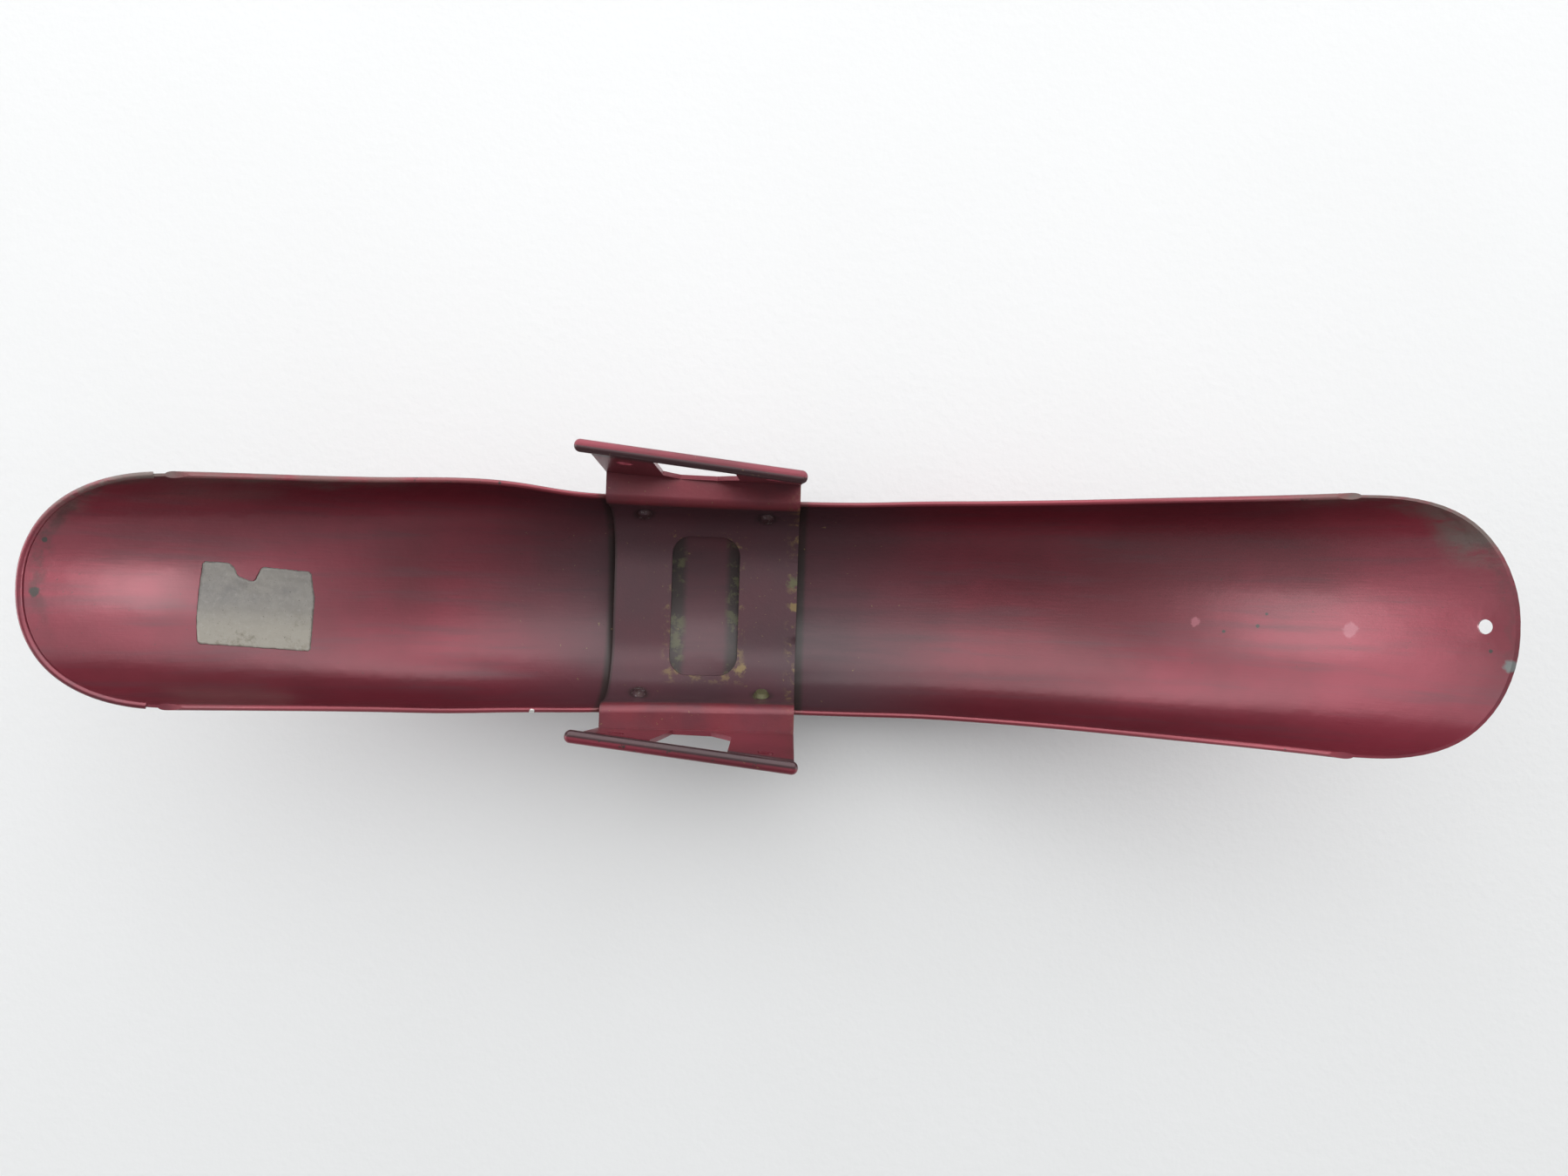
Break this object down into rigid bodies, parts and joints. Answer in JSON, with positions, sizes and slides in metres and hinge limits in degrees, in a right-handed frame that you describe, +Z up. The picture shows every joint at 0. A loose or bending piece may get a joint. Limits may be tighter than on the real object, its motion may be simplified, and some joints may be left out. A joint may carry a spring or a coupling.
{
  "type": "motorcycle front mudguard",
  "caption": "Arched front mudguard of painted pressed steel with rolled rims, a riveted fork bracket with two windowed ears, and a torn foil label inside.",
  "frame": {"origin": "bottom centre of the bounding box, under the lowest point of the crown; the part lies on its crown with the open wheel side up", "axes": "+X towards the rear tip, +Y towards the part's left side seen from above, +Z up towards the wheel axle"},
  "size_m": [0.6351, 0.1635, 0.2063],
  "materials": {
    "paint": "worn metallic wine red",
    "bracket_paint": "dull worn wine red",
    "rivet_paint": "worn wine red over steel",
    "foil": "aged creased foil"
  },
  "bodies": {
    "root": {"mudguard_shell": "paint", "fork_bracket": "bracket_paint", "front_left_rivet": "rivet_paint", "front_right_rivet": "rivet_paint", "rear_left_rivet": "rivet_paint", "rear_right_rivet": "rivet_paint", "foil_label": "foil"}
  },
  "joints": []
}
